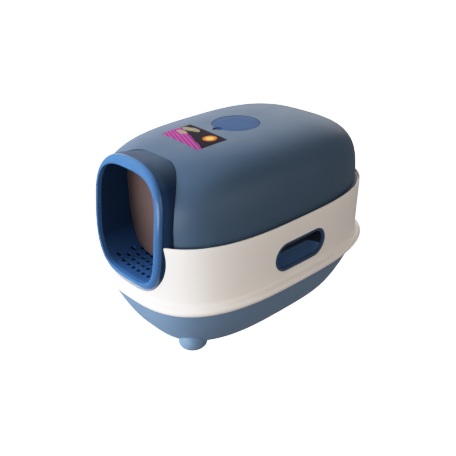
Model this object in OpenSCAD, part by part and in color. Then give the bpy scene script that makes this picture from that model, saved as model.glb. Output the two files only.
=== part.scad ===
// Covered litter box with a rear drawer: base, sieve pan, ring, hood, entry tunnel and swing flap.
// The entrance faces -Y, the drawer leaves towards +Y, and the box stands on z = 0.

/* [Body] */
// Length over the flared lower edge of the ring
body_l = 560; // [500:5:620]
// Width over the flared lower edge of the ring
body_w = 392; // [360:4:440]
// Squareness of the plan outline: 2 is an ellipse, higher is squarer
plan_power = 3; // [2.8:0.1:3.4]
// Wall thickness of the moulded shells
wall = 3; // [2.5:0.1:3.5]

/* [Base] */
// Height of the base's underside above the floor
base_clear = 16; // [14.5:0.5:20]
// Height of the base, from its underside to its rim
base_h = 102; // [98:1:120]
// How far the base's rim stands inside the flare of the ring
rim_inset = 9.8; // [9:0.1:11]
// How far the base narrows on each side, from its rim to its underside
base_taper = 48; // [42:1:52]
// Roundness of the base's side: 1 is a half circle, 2 is straight
base_power = 1.7; // [1.5:0.05:1.9]

/* [Feet] */
// Distance of each foot's middle inside the side of the flare
foot_side = 110; // [104:1:118]
// Distance of the front right foot's middle inside the end of the flare
foot_end = 87; // [80:1:95]
// The same distance for the other three feet
foot_in = 113; // [87:1:120]
// Radius of a foot at its top
foot_r = 28; // [22:0.5:29]
// Height of the rounded stub above the foot
stub_h = 26; // [16:1:30]
// Radius of the flat that a foot stands on
foot_flat = 9; // [6:0.5:14]
// Height of a foot
foot_h = 14; // [10:0.5:14]
// Radius of the spigot that holds a foot
spigot_r = 5.5; // [4:0.5:7]
// Length of the spigot
spigot_l = 4; // [2:0.5:5]

/* [Ring] */
// Height of the ring
ring_h = 134; // [130:1:148]
// How far the ring's lower edge hangs below the rim of the base
ring_lap = 6; // [4:0.5:9]
// Height of the bead along the ring's lower edge
bead_h = 16; // [13:0.5:19]
// How far the bead curls in at its lower edge
bead_curl = 4.2; // [3:0.2:5]
// Height of the bead's widest place above the ring's lower edge
bead_mid = 7.5; // [6:0.5:8.5]
// Height of the fillet between the bead and the wall
fillet_h = 6.5; // [5:0.5:9]
// How far the foot of the wall stands inside the flare
waist_inset = 11.6; // [10.6:0.2:12.4]
// How far the top of the ring stands inside the flare
top_inset = 7.5; // [6:0.1:8.4]

/* [Hood] */
// Height of the hood above its seat in the ring
hood_h = 140; // [132:1:160]
// Depth of the hood's seat below the top of the ring
seat_depth = 6; // [5:0.5:9]
// Gap between the ring's inner wall and the hood
hood_gap = 6.4; // [5:0.2:8]
// Squareness of the hood's side: 2 is an ellipse, higher is squarer
hood_power = 3.6; // [3.2:0.1:4]
// How far the hood's bottom flange stands out
flange_out = 3.6; // [2:0.2:4.4]

/* [Entrance] */
// Width of the opening
port_w = 174; // [160:2:184]
// Height of the sill above the floor
port_sill = 154; // [149:1:158]
// Height of the opening
port_h = 207; // [200:1:210]
// Height of the opening's widest place above its sill
port_mid = 131; // [115:1:140]
// Width of the rolled rim at the sides
rim_side = 13; // [12:0.5:15]
// Width of the rolled rim at the top and bottom
rim_top = 18; // [17:0.5:18]
// How much the tunnel widens on each side behind its rim
port_draft = 9; // [6:0.5:10]
// Distance of the rim behind the front of the flare, at the opening's widest place
rim_back = 15; // [13:1:22]
// Angle at which the rim leans back
rim_lean = 7.5; // [5:0.5:10]
// How much the rim bows forward, per 100 mm of height squared
rim_bow = 5; // [2:0.2:7]
// Depth of the tunnel behind the rim's widest place
tunnel_l = 81; // [76:1:86]
// Diameter of the holes in the tunnel's floor
hole_d = 8.4; // [5:0.2:9]
// Distance between the holes
hole_pitch = 15.6; // [14.4:0.2:18.4]
// Distance between the rows of holes
row_pitch = 16.8; // [14.4:0.2:18]
// Distance that stays free of holes inside each side of the opening
hole_margin = 21; // [19:1:40]

/* [Flap] */
// Distance of the flap in front of the tunnel's inner end
flap_in = 11; // [9:0.5:13]
// Thickness of the flap
flap_t = 2.4; // [2:0.1:3]
// Distance of the hinge below the top of the opening
hinge_drop = 12; // [11:0.5:14]
// Distance of the flap's neck inside each side of the opening
neck_in = 34; // [33:1:42]
// Height of the flap's neck, from its shoulders to the hinge
neck_h = 22; // [20:0.5:26]
// Radius of the barrel around the hinge pins
barrel_r = 4.6; // [4:0.1:4.8]
// Gap around the flap
flap_gap = 3; // [2.6:0.1:4]
// Radius of the hinge pins
pin_r = 2.5; // [2:0.1:3]

/* [Filter] */
// Radius of the round cover
lid_r = 47; // [45:0.5:52]
// Distance of the cover behind the middle of the box
lid_y = 9; // [-5:1:15]
// Thickness of the cover
lid_t = 3.6; // [3:0.1:4]
// How far the cover's top lies below the top of the hood
lid_sink = 0.6; // [0.4:0.1:1]
// Radius of the filter cup
cup_r = 41; // [36:0.5:42]
// Depth of the filter cup below its flange
cup_depth = 18; // [14:0.5:20]
// Wall thickness of the filter cup
cup_wall = 2; // [1.6:0.1:2.4]
// Radius of the air holes in the cup's floor
air_r = 4; // [2:0.25:5]
// Distance between the rings of air holes
air_pitch = 13; // [11:0.5:14]
// Radius of the finger notch in the cover
notch_r = 10; // [7:0.5:12]

/* [Grips] */
// Length of a side grip
grip_l = 137; // [110:1:150]
// Height of a side grip
grip_h = 60; // [52:1:62]
// Height of the grip's middle above the ring's lower edge
grip_z = 64; // [62:1:68]
// Width of the bezel around the hand hole
bezel = 6; // [4:0.5:8]
// Depth of the hand hole
grip_depth = 30; // [24:1:34]
// How much the floor of the hand hole rises inwards
grip_rise = 12; // [6:0.5:15]
// How far the grip's inner flange reaches around its hole
grip_flange = 5; // [3:0.5:6]

/* [Drawer] */
// Width of the drawer
drawer_w = 180; // [150:2:182]
// Height of the drawer's side
drawer_side = 36; // [28:1:36]
// Distance from the drawer's rear wall to the end of the flare
drawer_back = 86; // [84:1:94]
// Distance from the drawer's inner end to the front of the flare
drawer_nose = 106; // [96:1:130]
// Length of the drawer's grip
pull_l = 92; // [70:1:110]
// Height of the drawer's grip
pull_h = 24; // [20:0.5:26]
// Distance from the drawer's tray to the back of its grip
pull_back = 20; // [16:1:24]
// Width of the runners' rails under the drawer
rail_w = 10; // [6:0.5:16]
// Distance from each end of the tray to the end of the runners
rail_end = 20; // [10:1:40]
// Height of the runners' guide walls
runner_h = 14; // [8:1:20]
// Height of the sill under the drawer, above the underside of the base
drawer_up = 16; // [15.5:0.5:19]

/* [Pan] */
// Height of the pan's underside above the underside of the base
pan_up = 56; // [55:0.5:60]
// How far the pan's bottom stands inside the flare
pan_inset = 39; // [38:1:46]
// Gap between the rim of the base and the pan
pan_gap = 2.7; // [2:0.1:4]
// Height of the pan's lip above its flange
pan_lip = 6; // [3:0.5:6]
// Width of the slots in the sieve
sieve_w = 5; // [3:0.5:7]
// Length of the slots in the sieve
sieve_l = 30; // [20:1:34]
// Width of the bars between the slots
bar_w = 9; // [6:0.5:14]
// Width of the ribs between the rows of slots
rib_w = 12; // [8:0.5:16]
// Distance that stays free of slots inside the edge of the pan's floor
sieve_margin = 45; // [42:1:60]

/* [Clearances] */
// Gap between the hood's pieces and the ring's notch, and around lift-off pieces
fit = 0.4; // [0.35:0.05:0.6]
// Gap around pieces that are pressed into their seats
press = 0.2; // [0.1:0.05:0.25]
// Gap around pieces that slide or lift past each other
slide = 1; // [0.8:0.1:1.2]
// Gap around a pin in its bore
pin_fit = 0.08; // [0.05:0.01:0.1]

/* [Hidden] */

// Colours
shell_blue = [0.44, 0.52, 0.61];
ring_white = [0.95, 0.94, 0.93];
port_blue = [0.20, 0.40, 0.70];
grip_navy = [0.13, 0.17, 0.30];
flap_brown = [0.43, 0.32, 0.28];
tray_grey = [0.72, 0.75, 0.79];
lid_blue = [0.38, 0.46, 0.60];
carbon_black = [0.12, 0.12, 0.13];

// Smoothness
plan_steps = 64;
port_steps = 48;
round_fn = 48;
past = 1; // how far a cut runs past the face that it opens
sunk = 0.6; // how far a piece is sunk into the wall that it grows from

half_l = body_l / 2;
half_w = body_w / 2;
foot_x = half_w - foot_side;

// Heights, from the floor up
floor_z = base_clear + wall;
base_rim_z = base_clear + base_h;
pan_floor_z = base_clear + pan_up;
pan_flange_z = base_rim_z + wall;
ring_z = base_rim_z - ring_lap;
crease_z = ring_z + bead_h;
waist_z = crease_z + fillet_h;
ring_top_z = ring_z + ring_h;
seat_z = ring_top_z - seat_depth;
hood_z = seat_z + hood_h;

// Insets from the flare
hood_inset = top_inset + wall + hood_gap;
ledge_inset = hood_inset + wall - past;
pan_wall_inset = rim_inset + wall + pan_gap;
pan_ledge_inset = pan_wall_inset - slide;

// Entrance
port_top = port_sill + port_h;
port_mid_z = port_sill + port_mid;
rim_y = -half_l + rim_back;
tunnel_y = rim_y + tunnel_l;
flap_y = tunnel_y - flap_in;
hinge_z = port_top - hinge_drop;
neck_half = port_w / 2 - neck_in;
// Rolled rim as [share of the way from its outer edge to the opening, set-back from its face]
lip_roll = 9.6;
edge_roll = 3.6;
rim_roll = [[0, lip_roll], [0.14, 6], [0.5, 2], [0.85, 0.6], [1, edge_roll]];
flare_back = 24; // set-back of the place where the tunnel has its full width
flare_share = 0.2; // share of the tunnel's length that lies in front of that place
saddle_l = rim_back + 12;
relief_margin = 7;
hole_cut = 30;
top_power = 3.1;
sill_power = 3.8;
outer_top_power = 2.6;
outer_sill_power = 3.3;
hinge_boss_r = 6;
hinge_boss_l = 20;
bore_l = 12;

// Filter
cover_z = hood_z - lid_sink;
cup_flange = 1.5;
recess_z = cover_z - lid_t - cup_flange;
recess_r = lid_r + fit;
boss_wall = 8;

// Drawer
drawer_z = base_clear + drawer_up;
drawer_rear_y = half_l - drawer_back;
drawer_inner_y = -half_l + drawer_nose;
tray_wall = 2.5;
tray_round = 14;
window_half = drawer_w / 2 + slide + wall;
window_low = drawer_z - slide / 2;
window_high = drawer_z + drawer_side + 2 * slide;
runner_inner = drawer_w / 2 - rail_w;
runner_l = drawer_rear_y - drawer_inner_y - 2 * rail_end;

function sign_of(v) = v < 0 ? -1 : 1;
function rounded(v, power) = sign_of(v) * pow(abs(v), 2 / power);

// One closed outline of the plan, at half sizes ax and ay and height z
function plan_ring(ax, ay, z) =
    [for (i = [0:plan_steps - 1]) let (t = 360 * i / plan_steps)
        [ax * rounded(cos(t), plan_power), ay * rounded(sin(t), plan_power), z]];

// The same outline, given as an inset from the flare
function inset_ring(inset, z) = plan_ring(half_w - inset, half_l - inset, z);

function backwards(list) = [for (i = [len(list) - 1:-1:0]) list[i]];

// Skin through a list of outlines with equal point counts; looped joins the last to the first
module loft(rings, looped = false) {
    n = len(rings[0]);
    m = len(rings);
    spans = looped ? m : m - 1;
    sides = [for (i = [0:spans - 1], j = [0:n - 1])
        let (a = i * n, b = ((i + 1) % m) * n, k = (j + 1) % n)
            each [[a + j, b + j, b + k], [a + j, b + k, a + k]]];
    ends = looped ? [] : [[for (j = [0:n - 1]) j], [for (j = [n - 1:-1:0]) (m - 1) * n + j]];
    polyhedron(points = [for (r = rings) each r], faces = concat(sides, ends), convexity = 8);
}

// Side of the base as [inset, z] from the underside up, moved in by skin
base_steps = [1, 0.88, 0.74, 0.58, 0.4, 0.22, 0];
function base_side(skin) =
    [for (s = base_steps)
        [rim_inset + skin + base_taper * (1 - pow(cos(90 * s), base_power)),
         base_rim_z - (base_h - skin) * pow(sin(90 * s), base_power)]];

module base_solid(skin, above = 0) {
    side = base_side(skin);
    last = side[len(side) - 1];
    top = above > 0 ? [[last[0], last[1] + above]] : [];
    loft([for (p = concat(side, top)) inset_ring(p[0], p[1])]);
}

function foot_y(sx, sy) = sy * (half_l - (sx > 0 && sy < 0 ? foot_end : foot_in));

module at_feet() {
    for (sx = [-1, 1], sy = [-1, 1]) translate([sx * foot_x, foot_y(sx, sy), 0]) children();
}

module drawer_window(gap) {
    translate([-window_half + gap, drawer_rear_y, window_low + gap])
        cube([2 * (window_half - gap), half_l, window_high - window_low - 2 * gap]);
}

module base_shell() {
    color(shell_blue) difference() {
        union() {
            base_solid(0);
            at_feet() rotate_extrude($fn = round_fn)
                polygon(concat([[0, foot_h]],
                               [for (a = [0:15:90]) [foot_r * cos(a), foot_h + stub_h * sin(a)]]));
        }
        base_solid(wall, past);
        drawer_window(0);
        at_feet() translate([0, 0, foot_h - past])
            cylinder(h = spigot_l + past + fit, r = spigot_r + fit, $fn = round_fn);
    }
}

module foot(sx, sy) {
    arc = [for (a = [0:15:90]) [foot_flat + (foot_r - foot_flat) * sin(a), foot_h * (1 - cos(a))]];
    color(shell_blue) translate([sx * foot_x, foot_y(sx, sy), 0])
        rotate_extrude($fn = round_fn)
            polygon(concat([[0, 0]], arc, [[spigot_r, foot_h], [spigot_r, foot_h + spigot_l],
                                           [0, foot_h + spigot_l]]));
}

module rounded_rect(w, l, r) {
    translate([-w / 2 + r, -l / 2]) square([w - 2 * r, l]);
    translate([-w / 2, -l / 2 + r]) square([w, l - 2 * r]);
    for (sx = [-1, 1], sy = [-1, 1])
        translate([sx * (w / 2 - r), sy * (l / 2 - r)]) circle(r = r, $fn = round_fn);
}

module drawer_tray() {
    tray_l = drawer_rear_y - drawer_inner_y;
    color(tray_grey) translate([0, drawer_inner_y + tray_l / 2, drawer_z]) difference() {
        linear_extrude(height = drawer_side) rounded_rect(drawer_w, tray_l, tray_round);
        translate([0, 0, tray_wall]) linear_extrude(height = drawer_side)
            rounded_rect(drawer_w - 2 * tray_wall, tray_l - 2 * tray_wall, tray_round - tray_wall);
    }
}

// Prism of a stadium outline, l long and h high, whose axis is +Y, from y = 0 to y = depth
module stadium_y(l, h, depth) {
    rotate([-90, 0, 0]) linear_extrude(height = depth) {
        square([l - h, h], center = true);
        for (s = [-1, 1]) translate([s * (l - h) / 2, 0]) circle(d = h, $fn = round_fn);
    }
}

pull_z = (window_low + window_high) / 2;
module drawer_front() {
    color(shell_blue) difference() {
        intersection() {
            base_solid(0);
            drawer_window(slide);
        }
        intersection() {
            base_solid(wall, past);
            translate([0, -past, 0]) drawer_window(slide + wall);
        }
        translate([0, drawer_rear_y + wall, pull_z])
            stadium_y(pull_l + 2 * press, pull_h + 2 * press, half_l);
    }
}

module drawer_grip() {
    rim = 3;
    back_y = drawer_rear_y + pull_back;
    color(grip_navy) intersection() {
        difference() {
            translate([0, back_y, pull_z]) stadium_y(pull_l, pull_h, half_l);
            translate([0, back_y + tray_wall, pull_z]) stadium_y(pull_l - 2 * rim, pull_h - 2 * rim, half_l);
        }
        base_solid(0);
    }
}

module runner(side) {
    guide_x = drawer_w / 2 + slide;
    rail_h = drawer_z - floor_z;
    color(tray_grey) translate([0, drawer_inner_y + rail_end, floor_z]) union() {
        translate([side > 0 ? runner_inner : -guide_x - tray_wall, 0, 0])
            cube([guide_x + tray_wall - runner_inner, runner_l, rail_h]);
        translate([side > 0 ? guide_x : -guide_x - tray_wall, 0, 0])
            cube([tray_wall, runner_l, rail_h + runner_h]);
    }
}

module sieve_pan() {
    lip_z = pan_flange_z + pan_lip;
    path = [[pan_inset, pan_floor_z], [pan_wall_inset, base_rim_z], [rim_inset, base_rim_z],
            [rim_inset, pan_flange_z], [pan_wall_inset, pan_flange_z], [pan_wall_inset, lip_z],
            [pan_wall_inset + wall, lip_z], [pan_wall_inset + wall, base_rim_z],
            [pan_inset + wall, pan_floor_z]];
    pitch_x = sieve_w + bar_w;
    pitch_y = sieve_l + rib_w;
    across = floor((half_w - pan_inset - sieve_margin) / pitch_x);
    along = floor((half_l - pan_inset - sieve_margin) / pitch_y);
    color(tray_grey) union() {
        loft([for (p = path) inset_ring(p[0], p[1])], looped = true);
        difference() {
            translate([0, 0, pan_floor_z + sunk]) linear_extrude(height = wall)
                polygon([for (p = inset_ring(pan_inset + sunk, 0)) [p[0], p[1]]]);
            for (i = [-across:across], j = [-along:along])
                translate([i * pitch_x - sieve_w / 2, j * pitch_y - sieve_l / 2, pan_floor_z - past])
                    cube([sieve_w, sieve_l, 2 * wall + 2 * past]);
        }
    }
}

function lerp(a, b, t) = a + (b - a) * t;

// Outer side of the ring as [inset, z]: the bead up to its widest place, the bead above it (moved in
// by skin), and the fillet between the bead and the wall
bead_in = waist_inset - 1.4;
bead_top = bead_h - bead_mid;
bead_over_end = 70;
function bead_low(t) = [bead_curl * (1 - sin(90 * t)), ring_z + bead_mid * t];
function bead_over(a, skin = 0) = [bead_in - (bead_in - skin) * cos(a),
                                   ring_z + bead_mid + (bead_top - skin) * sin(a)];
function fillet_at(t) = let (from = bead_over(bead_over_end), by = [waist_inset, crease_z + 0.9],
                             to = [waist_inset, waist_z])
    lerp(lerp(from, by, t), lerp(by, to, t), t);
ring_outer = concat([for (t = [0, 0.3, 0.65, 1]) bead_low(t)],
                    [for (a = [20, 40, 55, bead_over_end]) bead_over(a)],
                    [for (t = [1 / 3, 2 / 3, 1]) fillet_at(t)], [[top_inset, ring_top_z - 0.8]]);

wall_at_seat = lerp(waist_inset, top_inset, (seat_z - waist_z) / (ring_top_z - waist_z)) + wall;
ring_room = [[waist_inset + wall, waist_z], [wall_at_seat + 0.2, seat_z - wall]];
ring_inner = concat([[top_inset + 0.8, ring_top_z], [top_inset + wall, ring_top_z],
                     [wall_at_seat, seat_z], [ledge_inset, seat_z], [ledge_inset, seat_z - wall]],
                    backwards(ring_room),
                    [[pan_ledge_inset, pan_flange_z + pan_lip + slide], [pan_ledge_inset, pan_flange_z],
                     [rim_inset - slide, pan_flange_z]],
                    [for (a = [bead_over_end, 35, 0]) bead_over(a, wall)],
                    [[bead_curl + wall / 2, ring_z]]);

module ring_outer_solid() {
    loft([for (p = ring_outer) inset_ring(p[0], p[1])]);
}

// Shelf around the notch, on which the tunnel's underside lies
module ring_saddle() {
    intersection() {
        ring_outer_solid();
        port_plug(fit + wall);
        translate([-half_w, -half_l, 0]) cube([body_w, saddle_l, seat_z]);
    }
}

grip_mid_z = ring_z + grip_z;
module grip_prism(side, l, h, from_x, up = 0, depth = half_w) {
    translate([side * from_x, 0, grip_mid_z + up]) rotate([0, 0, side > 0 ? -90 : 90])
        stadium_y(l, h, depth);
}

// Hand hole, whose floor rises inwards
module hand_hole(side, back_x) {
    l = grip_l - 2 * bezel;
    h = grip_h - 2 * bezel;
    hull() {
        grip_prism(side, l, h, half_w - waist_inset - past);
        grip_prism(side, l, h - grip_rise, back_x, up = grip_rise / 2, depth = past);
    }
}

module middle_ring() {
    hole_from = half_w - waist_inset - 3 * wall;
    color(ring_white) difference() {
        union() {
            loft([for (p = concat(ring_outer, ring_inner)) inset_ring(p[0], p[1])], looped = true);
            ring_saddle();
        }
        port_plug(fit);
        for (side = [-1, 1]) grip_prism(side, grip_l + 2 * press, grip_h + 2 * press, hole_from);
    }
}

module grip(side) {
    back_x = half_w - waist_inset - grip_depth - wall;
    flange_x = half_w - waist_inset - 2 * wall - 2;
    color(grip_navy) difference() {
        union() {
            intersection() {
                grip_prism(side, grip_l, grip_h, back_x);
                ring_outer_solid();
            }
            intersection() {
                grip_prism(side, grip_l + 2 * grip_flange, grip_h + 2 * grip_flange, flange_x);
                loft([for (p = ring_room) inset_ring(p[0], p[1])]);
            }
        }
        hand_hole(side, back_x + wall);
    }
}

// Outline of the entrance in the XZ plane: half width w, top and bottom heights, two corner powers
function port_outline(w, top, bottom, up_power, down_power) =
    [for (i = [0:port_steps - 1])
        let (t = 360 * i / port_steps, up = sin(t) >= 0, p = up ? up_power : down_power)
            [w * rounded(cos(t), p),
             port_mid_z + (up ? top - port_mid_z : port_mid_z - bottom) * rounded(sin(t), p)]];

function rim_face(z) = rim_y + tan(rim_lean) * (z - port_mid_z) + rim_bow * pow((z - port_mid_z) / 100, 2);

// The opening's outline, grown by g at the sides, up at the top and down at the bottom
function port_grown(g, up, down, round_top, round_sill) =
    port_outline(port_w / 2 + g, port_top + up, port_sill - down, round_top, round_sill);

function on_face(outline, back) = [for (p = outline) [p[0], rim_face(p[1]) + back, p[1]]];
function on_plane(outline, y) = [for (p = outline) [p[0], y, p[1]]];

opening = port_grown(0, 0, 0, top_power, sill_power);
opening_skin = port_grown(wall, wall, wall, top_power, sill_power);
rim_edge = port_grown(rim_side, rim_top, rim_top, outer_top_power, outer_sill_power);
skirt_in = port_grown(rim_side - wall, rim_top - wall, rim_top - wall, outer_top_power, outer_sill_power);
root_side = rim_side + port_draft;
root_up = rim_top - 10.5;
flare_up = lerp(rim_top, root_up, flare_share);

function part_way(a, b, t) = [for (i = [0:len(a) - 1]) lerp(a[i], b[i], t)];

// Outlines around the outside of the tunnel, grown by g: at its rear, and where it has its full width
function tunnel_rear(g) = port_grown(root_side + g, root_up + g, rim_top + g, outer_top_power,
                                     outer_sill_power);
function tunnel_flare(g) = port_grown(root_side + g, flare_up + g, rim_top + g, outer_top_power,
                                      outer_sill_power);

// Outside of the tunnel as a solid, grown by gap: the room that it takes in the ring and the hood
module port_plug(gap) {
    ahead = port_grown(rim_side + gap, rim_top + gap, rim_top + gap,
                       outer_top_power, outer_sill_power);
    loft([on_plane(tunnel_rear(gap), tunnel_y + press), on_face(tunnel_flare(gap), flare_back),
          on_face(ahead, lip_roll), on_plane(ahead, -half_l - past)]);
}

module hood_shell() {
    function dome(skin, a) = plan_ring((half_w - hood_inset - skin) * pow(cos(a), 2 / hood_power),
                                       (half_l - hood_inset - skin) * pow(cos(a), 2 / hood_power),
                                       seat_z + (hood_h - skin) * pow(sin(a), 2 / hood_power));
    rise = [6, 15, 26, 38, 50, 62, 73, 82, 88, 89.9];
    flange_t = 2;
    flange = [[hood_inset + wall, seat_z], [hood_inset - flange_out, seat_z],
              [hood_inset - flange_out, seat_z + flange_t], [hood_inset, seat_z + flange_t + sunk]];
    color(shell_blue) difference() {
        union() {
            loft(concat([for (a = backwards(rise)) dome(wall, a)],
                        [for (p = flange) inset_ring(p[0], p[1])],
                        [for (a = rise) dome(0, a)]));
            translate([0, lid_y, recess_z - wall])
                cylinder(h = hood_z - recess_z + sunk, r = recess_r + boss_wall, $fn = round_fn);
        }
        port_plug(press);
        translate([0, lid_y, recess_z]) cylinder(h = hood_h, r = recess_r, $fn = round_fn);
        translate([0, lid_y, recess_z - wall - past])
            cylinder(h = 2 * wall + 2 * past, r = cup_r + fit, $fn = round_fn);
        translate([0, lid_y - lid_r, cover_z - lid_t / 2]) cylinder(h = hood_h, r = notch_r, $fn = round_fn);
    }
}

module entry_tunnel() {
    rear = tunnel_y;
    rows = 4;
    color(port_blue) difference() {
        union() {
            loft(concat([on_plane(tunnel_rear(0), rear), on_face(tunnel_flare(0), flare_back)],
                        [for (p = rim_roll) on_face(part_way(rim_edge, opening, p[0]), p[1])],
                        [on_plane(opening, rear), on_plane(opening_skin, rear),
                         on_face(opening_skin, edge_roll + wall), on_face(skirt_in, lip_roll + wall),
                         on_face(tunnel_flare(-wall), flare_back + wall),
                         on_plane(tunnel_rear(-wall), rear)]), looped = true);
            for (side = [-1, 1]) hinge_part(side, neck_half + 2 * slide, hinge_boss_l, hinge_boss_r);
        }
        translate([relief_margin - port_w / 2, rim_y + wall, 0])
            cube([port_w - 2 * relief_margin, body_l, port_sill - wall - past]);
        for (j = [0:rows - 1], i = [-4:4])
            let (x = (i + ((j + 1) % 2) / 2) * hole_pitch)
                if (abs(x) < port_w / 2 - hole_margin)
                    translate([x, flap_y - j * row_pitch, port_sill - 2 * wall])
                        cylinder(h = hole_cut, d = hole_d, $fn = 24);
        for (side = [-1, 1])
            hinge_part(side, neck_half + slide, hinge_boss_l - 2, pin_r + pin_fit);
    }
}

// Cylinder on the flap's hinge line, from from_x outwards
module hinge_part(side, from_x, l, r) {
    translate([side * from_x, flap_y, hinge_z]) rotate([0, side * 90, 0])
        cylinder(h = l, r = r, $fn = round_fn);
}

module flap_panel() {
    shoulder_z = hinge_z - neck_h;
    outline = port_grown(-flap_gap, -flap_gap, -flap_gap, top_power, sill_power);
    color(flap_brown) difference() {
        union() {
            translate([0, flap_y + flap_t / 2, 0]) rotate([90, 0, 0]) linear_extrude(height = flap_t) {
                intersection() {
                    polygon(outline);
                    translate([-port_w, 0]) square([2 * port_w, shoulder_z]);
                }
                translate([-neck_half, shoulder_z - past])
                    square([2 * neck_half, hinge_z - shoulder_z + past]);
            }
            hinge_part(1, -neck_half, 2 * neck_half, barrel_r);
        }
        for (side = [-1, 1]) hinge_part(side, neck_half - bore_l, bore_l + past, pin_r + pin_fit / 2);
    }
}

module flap_pin(side) {
    color("silver") hinge_part(side, neck_half - bore_l + slide, bore_l + hinge_boss_l - 4, pin_r);
}

module filter_lid() {
    edge = 0.8;
    plug_r = cup_r - 2 * wall;
    under_z = cover_z - lid_t;
    plug_z = under_z - cup_flange;
    color(lid_blue) difference() {
        translate([0, lid_y, 0]) rotate_extrude($fn = round_fn)
            polygon([[0, plug_z], [plug_r, plug_z], [plug_r, under_z], [lid_r, under_z],
                     [lid_r, cover_z - edge], [lid_r - edge, cover_z], [0, cover_z]]);
        translate([0, lid_y - lid_r, cover_z - lid_t / 2]) cylinder(h = hood_h, r = notch_r, $fn = round_fn);
    }
}

cup_bottom_z = recess_z - cup_depth;
cup_inner_r = cup_r - cup_wall;
module filter_cup() {
    flange_r = lid_r - fit;
    rings = 2;
    color(tray_grey) translate([0, lid_y, 0]) difference() {
        rotate_extrude($fn = round_fn)
            polygon([[0, cup_bottom_z], [cup_r, cup_bottom_z], [cup_r, recess_z], [flange_r, recess_z],
                     [flange_r, recess_z + cup_flange], [cup_inner_r, recess_z + cup_flange],
                     [cup_inner_r, cup_bottom_z + cup_wall], [0, cup_bottom_z + cup_wall]]);
        for (ring = [0:rings], k = [0:max(1, 6 * ring) - 1])
            rotate([0, 0, k * 60 / max(1, ring)]) translate([ring * air_pitch, 0, cup_bottom_z - past])
                cylinder(h = cup_wall + 2 * past, r = air_r, $fn = 24);
    }
}

module carbon_filter() {
    color(carbon_black) translate([0, lid_y, cup_bottom_z + cup_wall])
        cylinder(h = cup_depth - 2 * cup_wall, r = cup_inner_r - fit, $fn = round_fn);
}

base_shell();
foot(-1, -1);  // foot_front_left
foot(1, -1);  // foot_front_right
foot(-1, 1);  // foot_rear_left
foot(1, 1);  // foot_rear_right
drawer_tray();
drawer_front();
drawer_grip();
runner(-1);  // runner_left
runner(1);  // runner_right
sieve_pan();
middle_ring();
grip(-1);  // grip_left
grip(1);  // grip_right
hood_shell();
entry_tunnel();
flap_panel();
flap_pin(-1);  // flap_pin_left
flap_pin(1);  // flap_pin_right
filter_lid();
filter_cup();
carbon_filter();
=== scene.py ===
"""Covered litter box with a rear drawer, modelled and finished around its fixed frame.

The entrance faces -Y, the drawer leaves towards +Y, the box stands on z = 0, and sizes are metres.
"""

import math

import bmesh
import bpy
from bpy.props import FloatProperty, FloatVectorProperty, PointerProperty
from mathutils import Matrix, Vector


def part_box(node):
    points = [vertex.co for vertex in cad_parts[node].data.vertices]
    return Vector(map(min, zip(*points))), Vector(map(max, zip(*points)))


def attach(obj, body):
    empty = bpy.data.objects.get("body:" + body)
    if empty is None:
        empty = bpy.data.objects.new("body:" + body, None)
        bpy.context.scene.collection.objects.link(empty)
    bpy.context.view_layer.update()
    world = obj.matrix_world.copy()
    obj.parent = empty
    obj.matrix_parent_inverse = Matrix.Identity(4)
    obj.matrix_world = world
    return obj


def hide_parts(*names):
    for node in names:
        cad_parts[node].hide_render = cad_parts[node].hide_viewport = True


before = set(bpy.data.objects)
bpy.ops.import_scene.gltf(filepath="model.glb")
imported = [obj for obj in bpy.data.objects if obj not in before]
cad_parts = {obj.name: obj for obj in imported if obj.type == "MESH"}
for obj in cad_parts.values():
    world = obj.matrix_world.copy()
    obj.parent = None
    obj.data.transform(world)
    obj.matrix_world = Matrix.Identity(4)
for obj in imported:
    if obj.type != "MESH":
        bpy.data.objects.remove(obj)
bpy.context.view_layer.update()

bl_info = {
    "name": "Drawer Litter Box",
    "version": (1, 0, 0),
    "blender": (4, 5, 0),
    "location": "View3D > Sidebar > Litter Box",
    "description": "Models and finishes a covered litter box with a rear drawer",
    "category": "Object",
}

MM = 0.001
RING_LOW, RING_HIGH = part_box("middle_ring")
HOOD_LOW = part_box("hood_shell")[0]
LID_LOW, LID_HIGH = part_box("filter_lid")
TRAY_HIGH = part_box("drawer_tray")[1]
FLAP_LOW, FLAP_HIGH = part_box("flap_panel")
FEET = ("foot_front_left", "foot_front_right", "foot_rear_left", "foot_rear_right")
HINGE_Y = (FLAP_HIGH.y + FLAP_LOW.y) / 2

# Numbers of points round each kind of outline
PLAN_STEPS = 160
PORT_STEPS = 144
SLOT_STEPS = 32
ROUND_STEPS = 96
PIN_STEPS = 48
HOLE_STEPS = 24
SIDE_STEPS = 24

# Fixed sizes of details
FOOT_FLAT = 9 * MM
FOOT_HEIGHT = 14 * MM
STUB_HEIGHT = 26 * MM
SPIGOT_RADIUS = 5.5 * MM
TUNNEL_FIT = 0.4 * MM
GRIP_FIT = 0.6 * MM
GRIP_FLANGE = 5 * MM
LID_DEPTH = 5.1 * MM
LID_EDGE = 1.1 * MM
NOTCH_DEPTH = 1.8 * MM
CUTTER_REACH = 20 * MM
BOSS_RADIUS = 6 * MM
BARREL_RADIUS = 4.6 * MM
BOSS_BORE = 2.58 * MM
BARREL_BORE = 2.54 * MM
RELIEF_MARGIN = 7 * MM
HOLE_MARGIN = 21 * MM
SHOULDER_DROP = 22 * MM
LABEL_LIFT = 0.03 * MM
LABEL_FILM = 0.12 * MM

# Directions of the camera's right and back, and its film's width in millimetres
CAMERA_RIGHT = Vector((0.67286, 0.73935, -0.02474))
CAMERA_BACK = Vector((0.66471, -0.58958, 0.45886))
CAMERA_FILM = 36.0

WHITE = (1.0, 1.0, 1.0)
COOL = (0.93, 1.0, 1.08)
WARM = (1.0, 0.98, 0.96)
AIR_COLOUR = (1.0, 0.97, 0.94, 1.0)
AIR_STRENGTH = 0.245

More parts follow.
